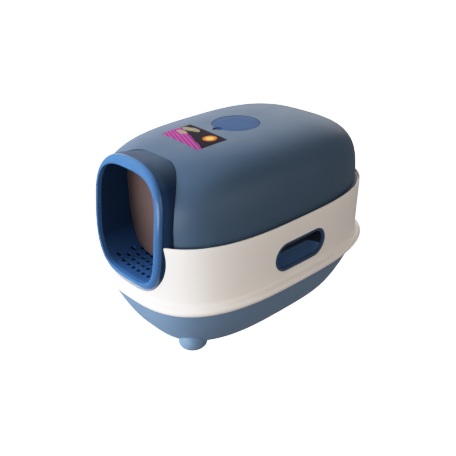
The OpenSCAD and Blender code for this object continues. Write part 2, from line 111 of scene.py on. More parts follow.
# Amounts of light and the tones that show them
TONES = [(t, t) for t in (0.12, 0.24, 0.36)]
TONES += [(0.48, 0.475), (0.66, 0.62), (0.9, 0.76), (1.2, 0.865), (1.5, 0.92), (1.9, 0.965)]


def metres(name, description, default):
    """A setting that is a length."""
    return FloatProperty(name=name, description=description, default=default, unit="LENGTH")


def amount(name, description, default):
    """A setting without a unit."""
    return FloatProperty(name=name, description=description, default=default)


def tilt(name, description, default):
    """A setting that is an angle."""
    return FloatProperty(name=name, description=description, default=default, subtype="ANGLE")


def paint(name, description, default):
    """A setting that is a colour."""
    return FloatVectorProperty(
        name=name, description=description, default=default, subtype="COLOR", size=3, min=0, max=1
    )


class BodySizes(bpy.types.PropertyGroup):
    """Sizes of the ring and the base."""

    half_width: metres("Half Width", "From the middle to the side of the ring's flare", RING_HIGH.x)
    half_length: metres(
        "Half Length", "From the middle to the end of the ring's flare", RING_HIGH.y
    )
    plan_power: amount("Plan Squareness", "2 is an ellipse, and higher is squarer", 3.0)
    wall: metres("Wall", "Thickness of the moulded shells", 3 * MM)
    underside: metres("Underside", "Height of the base's underside above the floor", 16 * MM)
    base_rim: metres("Base Rim", "Height of the base's rim", 118 * MM)
    base_inset: metres("Base Inset", "How far the base's rim stands inside the flare", 9.8 * MM)
    base_taper: metres("Base Taper", "How far the base narrows towards its underside", 48 * MM)
    base_power: amount("Base Roundness", "1 is a half circle, and 2 is straight", 1.7)
    ring_low: metres("Ring Bottom", "Height of the ring's lower edge", RING_LOW.z)
    ring_high: metres("Ring Top", "Height of the ring's upper edge", RING_HIGH.z)
    bead: metres("Bead", "Height of the bead along the ring's lower edge", 16 * MM)
    bead_curl: metres("Bead Curl", "How far the bead curls in at its lower edge", 4.2 * MM)
    bead_middle: metres(
        "Bead Middle", "Height of the bead's widest place above the ring's lower edge", 7.5 * MM
    )
    fillet: metres("Fillet", "Height of the fillet between the bead and the wall", 6.5 * MM)
    waist: metres("Waist", "How far the foot of the wall stands inside the flare", 11.6 * MM)
    ring_lip: metres("Ring Lip", "How far the ring's top stands inside the flare", 7.5 * MM)


class HoodSizes(bpy.types.PropertyGroup):
    """Sizes of the hood and of the filter cover."""

    seat: metres("Seat", "Height at which the hood stands in the ring", HOOD_LOW.z)
    rise: metres("Rise", "Height of the hood above its seat", 139.93 * MM)
    inset: metres("Inset", "How far the hood stands inside the flare", 16.9 * MM)
    power: amount("Squareness", "2 is an ellipse, and higher is squarer", 3.6)
    flange: metres("Flange", "How far the hood's bottom flange stands out", 3.6 * MM)
    seam: metres("Seam", "Gap that shows between the hood and the tunnel", 1.2 * MM)
    lid_radius: metres(
        "Cover Radius", "Radius of the round filter cover", (LID_HIGH.x - LID_LOW.x) / 2
    )
    lid_back: metres(
        "Cover Place", "How far the cover lies behind the middle", (LID_HIGH.y + LID_LOW.y) / 2
    )
    lid_top: metres("Cover Top", "Height of the cover's top", LID_HIGH.z)
    notch: metres("Notch Radius", "Radius of the finger notch in the cover", 10 * MM)
    cup_radius: metres("Cup Radius", "Radius of the filter cup below the cover", 41 * MM)


class EntranceSizes(bpy.types.PropertyGroup):
    """Sizes of the entrance tunnel and its flap."""

    half_width: metres("Half Width", "Half the width of the opening", 87 * MM)
    sill: metres("Sill", "Height of the opening's lower edge", 154 * MM)
    middle: metres("Middle", "Height of the opening's widest place", 285 * MM)
    top: metres("Top", "Height of the opening's upper edge", 361 * MM)
    rim_side: metres("Rim Side", "Width of the rolled rim at its sides", 13 * MM)
    rim_top: metres("Rim Top", "Width of the rolled rim at its top and bottom", 18 * MM)
    draft: metres("Draft", "How much the tunnel widens towards the hood", 9 * MM)
    front: metres("Front", "Where the rim's widest place lies along Y", -265 * MM)
    lip: metres("Lip", "Set-back of the rim's outer edge behind its face", 9.6 * MM)
    slope: metres("Slope", "How far the rim's face slopes back towards its outer edge", 5.4 * MM)
    edge: metres("Edge", "Set-back of the rim's inner edge behind its face", 3.6 * MM)
    rear: metres("Rear", "Where the tunnel ends along Y", -184 * MM)
    lean: tilt("Lean", "Angle at which the rim leans back", math.radians(7.5))
    bow: amount("Bow", "How much the rim bows forward, per metre", 0.5)
    hole: metres("Hole Radius", "Radius of the holes in the tunnel's floor", 4.2 * MM)
    hole_pitch: metres("Hole Pitch", "Distance between the holes of a row", 15.6 * MM)
    row_pitch: metres("Row Pitch", "Distance between the rows of holes", 16.8 * MM)
    hinge: metres("Hinge Height", "Height of the flap's hinge", 349 * MM)
    neck: metres("Neck", "Half the width of the flap's neck", 53 * MM)
    flap_gap: metres("Flap Gap", "Gap between the flap and the tunnel", 3 * MM)


class PocketSizes(bpy.types.PropertyGroup):
    """Sizes of the side grips, of the drawer's front and of its grip."""

    grip_length: metres("Grip Length", "Length of a side grip", 137 * MM)
    grip_height: metres("Grip Height", "Height of a side grip", 60 * MM)
    grip_middle: metres("Grip Middle", "Height of a side grip's middle", 176 * MM)
    grip_back: metres("Grip Back", "Where a side grip's back lies along X", 151.4 * MM)
    grip_rise: metres("Grip Rise", "How much the floor of a hand hole rises inwards", 12 * MM)
    bezel: metres("Bezel", "Width of the bezel around a hand hole", 6 * MM)
    drawer_half: metres("Drawer Half Width", "Half the width of the window for the drawer", 94 * MM)
    drawer_low: metres("Drawer Bottom", "Height of the window's sill", 31.5 * MM)
    drawer_high: metres("Drawer Top", "Height of the window's upper edge", 70 * MM)
    drawer_rear: metres("Drawer Rear", "Where the tray ends along Y", TRAY_HIGH.y)
    drawer_gap: metres("Drawer Gap", "Gap around the drawer's front", 1 * MM)
    pull_length: metres("Pull Length", "Length of the drawer's grip", 92 * MM)
    pull_height: metres("Pull Height", "Height of the drawer's grip", 24 * MM)


class LabelSizes(bpy.types.PropertyGroup):
    """Size and place of the label on the hood."""

    length: metres("Length", "Length of the label across the hood", 117 * MM)
    height: metres("Height", "Height of the label along the hood", 67 * MM)
    place: FloatVectorProperty(
        name="Place",
        description="Middle of the label on the hood",
        default=(-4.0 * MM, -94.0 * MM),
        size=2,
        subtype="XYZ",
        unit="LENGTH",
    )
    turn: tilt("Turn", "Angle at which the label was stuck on", math.radians(-4))


class BoxColours(bpy.types.PropertyGroup):
    """Colours of the mouldings."""

    hood: paint("Hood", "Slate blue of the hood", (0.045, 0.079, 0.129))
    base: paint("Base", "Slate blue of the base", (0.130, 0.204, 0.312))
    ring: paint("Ring", "Warm white of the ring", (0.89, 0.81, 0.74))
    rim: paint("Rim", "Royal blue of the entrance's rolled rim", (0.033, 0.098, 0.235))
    tunnel: paint("Tunnel", "Navy of the entrance tunnel behind its rim", (0.0055, 0.018, 0.050))
    trim: paint("Trim", "Navy of the grips", (0.028, 0.058, 0.125))
    cover: paint("Cover", "Blue of the round filter cover", (0.024, 0.062, 0.145))
    flap: paint("Flap", "Smoked brown of the flap", (0.080, 0.050, 0.045))
    tray: paint("Tray", "Pale grey of the drawer's tray and the sieve", (0.48, 0.52, 0.58))


class StudioSettings(bpy.types.PropertyGroup):
    """Camera and lights."""

    camera_place: FloatVectorProperty(
        name="Camera Place",
        description="Where the camera stands",
        default=(0.93007, -0.84399, 0.80280),
        subtype="TRANSLATION",
        unit="LENGTH",
        size=3,
    )
    lens: amount("Lens", "Focal length in millimetres", 53.52)
    key_power: amount("Key Light", "Power of the large soft light in front", 102.0)
    low_power: amount("Low Light", "Power of the low soft light in front of the base", 22.0)
    left_power: amount("Left Light", "Power of the soft light above the box's left", 150.0)
    top_power: amount("Top Light", "Power of the soft light overhead", 10.0)
    back_power: amount("Back Light", "Power of the soft wall of light behind", 62.0)
    side_power: amount("Side Light", "Power of the soft light beside the box", 24.0)
    kick_power: amount("Kick Light", "Power of the low light that brings out the rim", 4.5)
    white: amount("White", "Amount of light that shows as white", 2.4)
    floor_glow: amount("Floor Glow", "How much light the white floor gives of its own", 2.35)


def group(name):
    """One of this add-on's groups of settings."""
    return getattr(bpy.context.scene, "litter_box_" + name)


# Outlines


def rounded(value, power):
    """Turns a circle's coordinate into that of a squarer outline."""
    return math.copysign(abs(value) ** (2 / power), value)


def steps(first, last, count):
    """Evenly spaced numbers from first to last."""
    return [first + (last - first) * i / (count - 1) for i in range(count)]


def angles(first, last, count):
    """Evenly spaced angles, given in degrees."""
    return [math.radians(a) for a in steps(first, last, count)]


def full_turn(count):
    """Evenly spaced angles all the way round."""
    return [2 * math.pi * i / count for i in range(count)]


def plan(half_x, half_y, z):
    """The box's outline seen from above."""
    power = group("body").plan_power
    return [
        Vector((half_x * rounded(math.cos(t), power), half_y * rounded(math.sin(t), power), z))
        for t in full_turn(PLAN_STEPS)
    ]


def plan_inside(inset, z):
    """The outline seen from above, that far inside the ring's flare."""
    body = group("body")
    return plan(body.half_width - inset, body.half_length - inset, z)


def circle(middle, radius, z):
    """A level circle."""
    return [
        Vector((middle[0] + radius * math.cos(t), middle[1] + radius * math.sin(t), z))
        for t in full_turn(ROUND_STEPS)
    ]


def slot_outline(length, height):
    """A long slot with round ends, as pairs across and up."""
    radius = height / 2
    reach = length / 2 - radius
    points = []
    for side in (1, -1):
        for turn in angles(-90, 90, SLOT_STEPS):
            across = side * (reach + radius * math.cos(turn))
            points.append((across, side * radius * math.sin(turn)))
    return points


def port(grow, up, down, top_power, sill_power):
    """The entrance's outline grown at its sides, top and sill, as pairs across and up."""
    door = group("entrance")
    points = []
    for turn in full_turn(PORT_STEPS):
        above = math.sin(turn) >= 0
        power = top_power if above else sill_power
        reach = door.top + up - door.middle if above else door.middle - door.sill + down
        across = (door.half_width + grow) * rounded(math.cos(turn), power)
        points.append((across, door.middle + reach * rounded(math.sin(turn), power)))
    return points


def opening(grow=0.0):
    """The opening itself, or its outline grown all round."""
    return port(grow, grow, grow, 3.1, 3.8)


def rim_edge(grow=0.0, flare=0.0, sink=0.0):
    """The outer edge of the tunnel's rolled rim, wider by a flare and lower by a sink."""
    door = group("entrance")
    side = door.rim_side + flare + grow
    return port(side, door.rim_top - sink + grow, door.rim_top + grow, 2.6, 3.3)


def rim_face(z):
    """Where the rim's face lies along Y at a height."""
    door = group("entrance")
    above = z - door.middle
    return door.front + math.tan(door.lean) * above + door.bow * above**2


def on_face(outline, back):
    """Lays an outline on the rim's face, set back by a distance."""
    return [Vector((x, rim_face(z) + back, z)) for x, z in outline]


def on_plane(outline, y):
    """Lays an outline upright across Y."""
    return [Vector((x, y, z)) for x, z in outline]


def between(first, second, share):
    """An outline part of the way from one to another."""
    return [(a + (c - a) * share, b + (d - b) * share) for (a, b), (c, d) in zip(first, second)]


# Profiles, as pairs of inset and height


def bead_low(share):
    """The bead from the ring's lower edge up to its widest place."""
    body = group("body")
    curl = body.bead_curl * (1 - math.sin(math.pi / 2 * share))
    return curl, body.ring_low + body.bead_middle * share


def bead_over(angle, skin=0.0):
    """The bead above its widest place, moved in by a skin."""
    body = group("body")
    turn = math.radians(angle)
    reach = body.waist - 1.4 * MM
    rise = (body.bead - body.bead_middle - skin) * math.sin(turn)
    return reach - (reach - skin) * math.cos(turn), body.ring_low + body.bead_middle + rise


def fillet_at(share):
    """The fillet between the bead and the wall."""
    body = group("body")
    crease = body.ring_low + body.bead
    corners = (bead_over(70), (body.waist, crease + 0.9 * MM), (body.waist, crease + body.fillet))
    weights = ((1 - share) ** 2, 2 * share * (1 - share), share**2)
    return tuple(sum(w * corner[i] for w, corner in zip(weights, corners)) for i in (0, 1))


def ring_inset(z):
    """How far the ring's wall stands inside the flare at a height."""
    body = group("body")
    low = fillet_at(1)[1]
    return body.waist + (body.ring_lip - body.waist) * (z - low) / (body.ring_high - low)


def ring_outside():
    """The ring's outer side, from its lower edge up and over its top."""
    body = group("body")
    top = body.ring_high
    lip = body.ring_lip
    side = [bead_low(t) for t in steps(0, 1, 8)] + [bead_over(a) for a in steps(10, 70, 9)]
    side += [fillet_at(t) for t in steps(0.1, 1, 8)]
    side += [(ring_inset(z), z) for z in steps(fillet_at(1)[1] + 14 * MM, top - 1.4 * MM, 6)]
    edge = ((0.3 * MM, 0.6 * MM), (0.75 * MM, 0.15 * MM), (1.3 * MM, 0.0))
    return side + [(lip + inward, top - down) for inward, down in edge]


def ring_inside():
    """The ring's inner side, from above its top down past its lower edge."""
    body = group("body")
    hood = group("hood")
    wall = body.wall
    seat = ring_inset(hood.seat) + wall
    ledge = hood.inset + wall - MM
    under = hood.seat - wall
    lip = body.ring_lip + wall
    side = [(lip - 0.8 * MM, body.ring_high + MM), (lip, body.ring_high - MM)]
    side += [(seat, hood.seat), (ledge, hood.seat), (ledge, under), (seat + 0.2 * MM, under)]
    side.append((body.waist + wall, fillet_at(1)[1]))
    rib = body.base_rim + wall
    shelf = body.base_inset + wall + 1.7 * MM
    side += [(shelf, rib + 7 * MM), (shelf, rib), (body.base_inset - MM, rib)]
    side += [bead_over(a, wall) for a in (70, 50, 30, 12, 0)]
    return side + [(body.bead_curl + wall / 2, body.ring_low - MM)]


def base_side(share, skin=0.0):
    """The base's side, from its rim at 0 to its underside at 1, moved in by a skin."""
    body = group("body")
    turn = math.pi / 2 * share
    inset = body.base_inset + skin + body.base_taper * (1 - math.cos(turn) ** body.base_power)
    drop = (body.base_rim - body.underside - skin) * math.sin(turn) ** body.base_power
    return inset, body.base_rim - drop


def base_inset(z):
    """How far the base's side stands inside the flare at a height."""
    body = group("body")
    drop = min(1, max(0, (body.base_rim - z) / (body.base_rim - body.underside)))
    sine = drop ** (1 / body.base_power)
    cosine = math.sqrt(max(0, 1 - sine**2))
    return body.base_inset + body.base_taper * (1 - cosine**body.base_power)


def base_shares():
    """Places down the base's side, from its underside at 1 to its rim at 0."""
    return [math.sin(math.pi / 2 * t) for t in steps(1, 0, SIDE_STEPS)]


def base_block_outlines(skin):
    """Outlines of the base's side as a solid block, from the underside up."""
    body = group("body")
    loops = [plan_inside(*base_side(share, skin)) for share in base_shares()]
    if skin:
        loops.append(plan_inside(body.base_inset + skin, body.base_rim + 2 * MM))
    return loops


def dome(skin, turn):
    """One level outline of the hood's dome; turn runs from 0 at the seat to 90 degrees on top."""
    body = group("body")
    hood = group("hood")
    shrink = math.cos(turn) ** (2 / hood.power)
    return plan(
        (body.half_width - hood.inset - skin) * shrink,
        (body.half_length - hood.inset - skin) * shrink,
        hood.seat + (hood.rise - skin) * math.sin(turn) ** (2 / hood.power),
    )


def dome_height(x, y):
    """Height of the hood's outer surface above a point of the floor."""
    body = group("body")
    hood = group("hood")
    power = body.plan_power
    spread = abs(x / (body.half_width - hood.inset)) ** power
    spread += abs(y / (body.half_length - hood.inset)) ** power
    reach = spread ** (1 / power)
    return hood.seat + hood.rise * (1 - reach**hood.power) ** (1 / hood.power)


# Modelling


def clear_selection():
    """Leaves no object selected."""
    if bpy.context.object and bpy.context.object.mode != "OBJECT":
        bpy.ops.object.mode_set(mode="OBJECT")
    bpy.ops.object.select_all(action="DESELECT")


def pick(piece):
    """Makes a piece the only selected and active one."""
    clear_selection()
    piece.select_set(True)
    bpy.context.view_layer.objects.active = piece


def added(name):
    """The object just added, with its name on it and on its data."""
    piece = bpy.context.object
    piece.name = piece.data.name = name
    return piece


def draw_out(name, outlines, closed=False):
    """Starts from a circle and extrudes its edge through each outline in turn.

    A closed piece runs back into its first outline, and an open one is capped at both ends.
    """
    clear_selection()
    bpy.ops.mesh.primitive_circle_add(vertices=len(outlines[0]), radius=outlines[0][0].length)
    piece = added(name)
    bpy.ops.object.mode_set(mode="EDIT")
    mesh = bmesh.from_edit_mesh(piece.data)
    place = mesh.verts.layers.int.new("place")
    for i, vertex in enumerate(mesh.verts):
        vertex[place] = i
    path = outlines + [outlines[0]] if closed else outlines
    for number, outline in enumerate(path):
        if number:
            bpy.ops.mesh.extrude_edges_move()
            mesh = bmesh.from_edit_mesh(piece.data)
            place = mesh.verts.layers.int["place"]
        for vertex in mesh.verts:
            if vertex.select:
                vertex.co = outline[vertex[place]]
    bmesh.update_edit_mesh(piece.data)
    bpy.ops.mesh.select_all(action="SELECT")
    if closed:
        bpy.ops.mesh.remove_doubles(threshold=0.5e-6)
    else:
        bpy.ops.mesh.fill_holes(sides=0)
        bpy.ops.mesh.select_all(action="SELECT")
    bpy.ops.mesh.normals_make_consistent(inside=False)
    bpy.ops.object.mode_set(mode="OBJECT")
    piece.data.attributes.remove(piece.data.attributes["place"])
    settle(piece)
    return piece


def settle(piece):
    """Puts a piece's object at the origin, with its place in its mesh."""
    pick(piece)
    bpy.ops.object.transform_apply(location=True, rotation=True, scale=True)


def drum(name, middle, radius, height, turn=(0.0, 0.0, 0.0), sides=ROUND_STEPS):
    """A round bar or cutter."""
    clear_selection()
    bpy.ops.mesh.primitive_cylinder_add(
        vertices=sides, radius=radius, depth=height, location=middle, rotation=turn
    )
    piece = added(name)
    settle(piece)
    return piece


def block(name, low, high):
    """A box between two corners, as a cutter."""
    clear_selection()
    low = Vector(low)
    high = Vector(high)
    bpy.ops.mesh.primitive_cube_add(size=1, location=(low + high) / 2, scale=high - low)
    piece = added(name)
    settle(piece)
    return piece


def join_with(piece, other, operation):
    """Adds, takes away or keeps what another solid covers, and uses that solid up."""
    pick(piece)
    tool = piece.modifiers.new(operation.title(), "BOOLEAN")
    tool.operation = operation
    tool.solver = "EXACT"
    tool.object = other
    bpy.ops.object.modifier_apply(modifier=tool.name)
    bpy.data.objects.remove(other)
    return piece


def cut(piece, other):
    """Takes away what another solid covers."""
    join_with(piece, other, "DIFFERENCE")


def soften(piece, width):
    """Rounds the sharp edges."""
    pick(piece)
    bevel = piece.modifiers.new("Soft Edge", "BEVEL")
    bevel.width = width
    bevel.segments = 2
    bevel.limit_method = "ANGLE"
    bevel.angle_limit = math.radians(32)
    bevel.use_clamp_overlap = True
    bpy.ops.object.modifier_apply(modifier=bevel.name)


def smooth(piece, angle):
    """Smooth shading, with real edges kept crisp."""
    pick(piece)
    bpy.ops.object.shade_smooth_by_angle(angle=math.radians(angle))


def fit(piece, body, slot, finish, *nodes, angle=28.0):
    """Smooths a piece, gives it its finish and body, and lets it stand for its nodes."""
    smooth(piece, angle)
    settle(piece)
    piece.data.materials.clear()
    piece.data.materials.append(finish_of(finish))
    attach(piece, body)
    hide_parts(*nodes)


# Finishes


class Signal:
    """A value that varies over a surface, with arithmetic that adds Math nodes."""

    def __init__(self, finish, socket):
        self.finish = finish
        self.socket = socket

    def math(self, operation, *values):
        """Adds one Math node."""
        sockets = dict(enumerate(values))
        return self.finish.node("ShaderNodeMath", {"operation": operation}, sockets)

    def __add__(self, other):
        return self.math("ADD", self, other)

    def __sub__(self, other):
        return self.math("SUBTRACT", self, other)

    def __mul__(self, other):
        return self.math("MULTIPLY", self, other)

    def __truediv__(self, other):
        return self.math("DIVIDE", self, other)

    def __rsub__(self, other):
        return self.math("SUBTRACT", other, self)

    __radd__ = __add__

    def distance(self):
        """The value without its sign."""
        return self.math("ABSOLUTE", self)

    def root(self):
        """The square root."""
        return self.math("SQRT", self)

    def wave(self):
        """The sine, for evenly spaced bands."""
        return self.math("SINE", self)

    def below(self, limit, blur):
        """1 where the value is under a limit and 0 above it, with a soft edge."""
        sockets = {"Value": self, "From Min": limit - blur, "From Max": limit + blur}
        sockets |= {"To Min": 1.0, "To Max": 0.0}
        return self.finish.node("ShaderNodeMapRange", {"clamp": True}, sockets, "Result")

    def above(self, limit, blur):
        """1 where the value is over a limit and 0 under it, with a soft edge."""
        return 1 - self.below(limit, blur)


class Finish:
    """A material under construction."""

    def __init__(self, name, **constants):
        self.material = bpy.data.materials.new(name)
        self.material.use_nodes = True
        self.tree = self.material.node_tree
        self.tree.nodes.clear()
        self.shader = self.tree.nodes.new("ShaderNodeBsdfPrincipled")
        output = self.tree.nodes.new("ShaderNodeOutputMaterial")
        self.tree.links.new(self.shader.outputs["BSDF"], output.inputs["Surface"])
        for socket, value in constants.items():
            self.shader.inputs[socket.replace("_", " ")].default_value = value
        coordinates = self.tree.nodes.new("ShaderNodeTexCoord")
        self.place = Signal(self, coordinates.outputs["Object"])

    def node(self, kind, settings, sockets, output=0):
        """Adds a node: its settings first, then the values or links of its sockets."""
        made = self.tree.nodes.new(kind)
        for name, value in settings.items():
            setattr(made, name, value)
        for socket, value in sockets.items():
            self.plug(made.inputs[socket], value)
        return Signal(self, made.outputs[output])

    def plug(self, socket, value):
        """Links a signal to a socket, or sets the socket's own value."""
        if isinstance(value, Signal):
            self.tree.links.new(value.socket, socket)
        else:
            socket.default_value = value

    def feed(self, name, value):
        """Feeds one of the shader's sockets."""
        self.plug(self.shader.inputs[name], value)

    def noise(self, scale, detail=2.0, roughness=0.5, place=None):
        """A cloudy pattern from 0 to 1."""
        sockets = {"Vector": place or self.place, "Scale": scale, "Detail": detail}
        return self.node("ShaderNodeTexNoise", {}, sockets | {"Roughness": roughness}, "Fac")

    def grain(self):
        """The mould's cloudiness and its spark-eroded grain."""
        return self.noise(31.0, 4.0, 0.6), self.noise(1500.0, 1.0, 0.4)

    def scuffs(self, strength):
        """Streaks that handling has left."""
        drawn = self.stretched((0, 0, 0), (0.2, 0.1, 0.5), (1.0, 0.12, 0.4))
        return self.noise(26.0, 5.0, 0.62, drawn).above(0.66, 0.05) * strength

    def stretched(self, location, turn, scale):
        """Coordinates moved, turned and stretched."""
        sockets = {"Vector": self.place, "Location": location, "Rotation": turn, "Scale": scale}
        return self.node("ShaderNodeMapping", {"vector_type": "TEXTURE"}, sockets)

    def mix(self, share, first, second):
        """A colour part of the way from one to another."""
        colours = [c if isinstance(c, Signal) else (*c[:3], 1.0) for c in (first, second)]
        sockets = {0: share, 6: colours[0], 7: colours[1]}
        return self.node("ShaderNodeMix", {"data_type": "RGBA"}, sockets, 2)

    def axes(self, place=None):
        """The three coordinates as signals."""
        split = self.node("ShaderNodeSeparateXYZ", {}, {0: place or self.place})
        outputs = split.socket.node.outputs
        return [Signal(self, outputs[i]) for i in range(3)]

    def done(self, colour, roughness, height, strength, distance):
        """Feeds the colour, the roughness and a normal from a height."""
        self.feed("Base Color", colour)
        self.feed("Roughness", roughness)
        sockets = {"Height": height, "Strength": strength, "Distance": distance}
        self.feed("Normal", self.node("ShaderNodeBump", {}, sockets, "Normal"))
        return self.material


def tint(colour, factor):
    """A colour made lighter or darker, worked out as plain numbers."""
    return [min(1.0, c * factor) for c in colour[:3]]


def moulded(name, colour, roughness, grain, scuff=0.5, specular=0.5):
    """Injection-moulded plastic: spark-eroded grain, faint flow marks and handling scuffs."""
    finish = Finish(name, Specular_IOR_Level=specular)
    flow = finish.noise(7.0, 3.0, 0.55)
    cloud, eroded = finish.grain()
    scuffs = finish.scuffs(scuff)
    shade = finish.mix(flow, tint(colour, 0.955), tint(colour, 1.045))
    shade = finish.mix(cloud * 0.10, shade, tint(colour, 0.88))
    shade = finish.mix(scuffs * 0.16, shade, tint(colour, 1.5))
    uneven = (cloud - 0.5) * 0.10 + (eroded - 0.5) * 0.05 + scuffs * 0.10
    return finish.done(shade, roughness + uneven, eroded * grain + flow * 2.0, 0.35, 0.00006)


def two_tone(name, rim, tunnel):
    """Moulded plastic that is royal blue on the rolled rim and navy behind it."""
    door = group("entrance")
    finish = Finish(name, Coat_Roughness=0.14, Specular_IOR_Level=0.08)
    x, y, z = finish.axes()
    above = z - door.middle
    back = y - (door.front + above * math.tan(door.lean) + above * above * door.bow)
    behind = back.above(door.lip + 0.6 * MM, 0.5 * MM)
    cloud, eroded = finish.grain()
    scuffs = finish.scuffs(0.5)
    inner = x.distance().below(door.half_width + MM, 3 * MM) * z.above(door.sill - 2 * MM, MM)
    # Painted light: the tunnel's floor is made paler, as if lit through the opening.
    painted_lit_floor = inner * z.below(door.sill + 30 * MM, 24 * MM)
    shade = finish.mix(painted_lit_floor, tunnel, tint(tunnel, 3.2))
    # Painted light: the tunnel's top is made a paler grey-blue, as if lit from above.
    painted_lit_top = z.above(door.top - 4 * MM, 14 * MM)
    shade = finish.mix(painted_lit_top * 0.8, shade, (0.042, 0.072, 0.118))
    shade = finish.mix(behind, rim, shade)
    shade = finish.mix(cloud * 0.10, shade, tint(tunnel, 0.8))
    shade = finish.mix(scuffs * 0.10, shade, tint(rim, 1.6))
    finish.feed("Coat Weight", (1 - behind) * 0.6)
    roughness = 0.42 + behind * 0.16 + (cloud - 0.5) * 0.10 + scuffs * 0.10
    return finish.done(shade, roughness, eroded * 0.8 + cloud, 0.35, 0.00006)


def pocketed(name, colour):
    """Navy plastic of a side grip: painted light pales its floor, painted shade darkens its matt
    back.
    """
    pocket = group("pockets")
    finish = Finish(name, Specular_IOR_Level=0.2)
    x, _, z = finish.axes()
    cloud, eroded = finish.grain()
    inside = x.distance().below(pocket.grip_back + 29 * MM, 0.6 * MM)
    back = inside * z.above(pocket.grip_middle - 10.5 * MM, 0.8 * MM)
    shade = finish.mix(cloud * 0.12, colour, tint(colour, 0.8))
    # Painted light: the floor of the hand hole is made paler.
    shade = finish.mix(inside, shade, tint(colour, 1.9))
    # Painted shade: the back of the hand hole is made nearly black.
    shade = finish.mix(back, shade, tint(colour, 0.12))
    roughness = 0.42 + back * 0.25 + (cloud - 0.5) * 0.10
    return finish.done(shade, roughness, eroded * 0.8 + cloud, 0.35, 0.00006)


def smoked(name, colour):
    """Smoked clear plastic with a polished face, faint haze and paw smears."""
    finish = Finish(name, Transmission_Weight=0.12, IOR=1.49, Coat_Weight=0.2, Coat_Roughness=0.2)
    across, _, up = finish.axes()
    cloud = finish.noise(14.0, 3.0, 0.6)
    wiped = finish.stretched((0, 0, 0), (0, 0.6, 0), (1.0, 1.0, 0.3))
    haze = finish.noise(22.0, 5.0, 0.65, wiped).above(0.55, 0.08)
    shade = finish.mix(cloud * 0.5, colour, tint(colour, 0.78))
    shade = finish.mix(up.below(0.215, 0.05) * 0.6, shade, tint(colour, 0.55))
    # Painted shadow: darker towards both sides, where the flap meets the tunnel.
    shade = finish.mix(across.distance().above(0.068, 0.012) * 0.6, shade, tint(colour, 0.5))
    # Painted highlight: a paler band down the flap's middle.
    shade = finish.mix(across.distance().below(0.030, 0.028) * 0.5, shade, tint(colour, 1.35))
    shade = finish.mix(haze * 0.2, shade, tint(colour, 1.5))
    return finish.done(shade, 0.30 + cloud * 0.08 + haze * 0.12, cloud, 0.2, 0.0002)


def turned_steel(name):
    """Turned steel with fine rings around the pin."""
    finish = Finish(name, Metallic=1.0)
    across, _, _ = finish.axes()
    sockets = {"W": across * 4000.0, "Detail": 2.0}
    rings = finish.node("ShaderNodeTexNoise", {"noise_dimensions": "1D"}, sockets)
    shade = finish.mix(rings, (0.50, 0.50, 0.52), (0.70, 0.70, 0.72))
    return finish.done(shade, 0.26 + rings * 0.14, rings, 0.3, 0.00003)


def fleece(name):
    """Black carbon fleece: matted fibres with grey flecks."""
    finish = Finish(name, Sheen_Weight=0.15)
    combed = finish.stretched((0, 0, 0), (0.3, 0.2, 0.7), (1.0, 0.25, 1.0))
    fibres = finish.noise(420.0, 6.0, 0.75, combed)
    felt = finish.noise(60.0, 4.0, 0.6)
    shade = finish.mix(fibres, (0.012, 0.012, 0.014), (0.06, 0.06, 0.065))
    shade = finish.mix(felt.above(0.6, 0.1) * 0.4, shade, (0.09, 0.09, 0.095))
    return finish.done(shade, 0.85 + fibres * 0.12, fibres + felt, 0.7, 0.0008)


def printed_label(name):
    """A glossy printed label: dark ground, a pink wedge, cream leaves and an orange sun."""
    size = group("label")
    finish = Finish(name, Specular_IOR_Level=0.02)
    where = finish.stretched((*size.place, 0.0), (0.0, 0.0, size.turn), (1.0, 1.0, 1.0))
    across, up, _ = finish.axes(where)
    u = across / size.length
    v = up / size.height
    ripple = finish.noise(60.0, 2.0, 0.5)
    shade = finish.mix(ripple, (0.006, 0.004, 0.008), (0.016, 0.010, 0.016))
    slope = u * 0.55 + v + ripple * 0.10
    wedge = slope.below(-0.04, 0.012)
    pink = finish.mix(ripple, (0.16, 0.014, 0.10), (0.27, 0.03, 0.17))
    bands = ((u * 0.55 + v) * 60.0).wave().above(0.35, 0.2)
    pink = finish.mix(bands * 0.4, pink, (0.46, 0.13, 0.34))
    shade = finish.mix(wedge, shade, pink)
    leaves = ((-0.34, 0.22, 0.15, 0.5), (-0.22, 0.30, 0.14, -0.4), (-0.30, -0.04, 0.13, 0.1))
    for left, rise, reach, lean in leaves:
        x = u - left
        y = v - rise
        along = (x + y * lean) / reach
        over = (y - x * lean * 0.6) / (reach * 0.75)
        leaf = (along * along + over * over).below(1.0, 0.12)
        shade = finish.mix(leaf * (0.75 + ripple * 0.3), shade, (0.24, 0.21, 0.13))
    x = (u - 0.27) * (size.length / size.height)
    y = v - 0.20
    radius = (x * x + y * y).root()
    shade = finish.mix(radius.below(0.20, 0.012), shade, (0.50, 0.13, 0.02))
    shade = finish.mix(radius.below(0.12, 0.012), shade, (0.62, 0.38, 0.09))
    return finish.done(shade, 0.5 + ripple * 0.1, ripple, 0.15, 0.0002)


def studio_floor(name):
    """Plain white floor with a faint cloudiness."""
    glow = group("studio").floor_glow
    finish = Finish(name, Roughness=0.9, Specular_IOR_Level=0.0, Emission_Strength=glow)
    cloud = finish.noise(2.0, 2.0)
    finish.feed("Base Color", finish.mix(cloud, (0.10, 0.10, 0.10), (0.105, 0.105, 0.105)))
    finish.feed("Emission Color", (1.0, 1.0, 1.0, 1.0))
    return finish.material


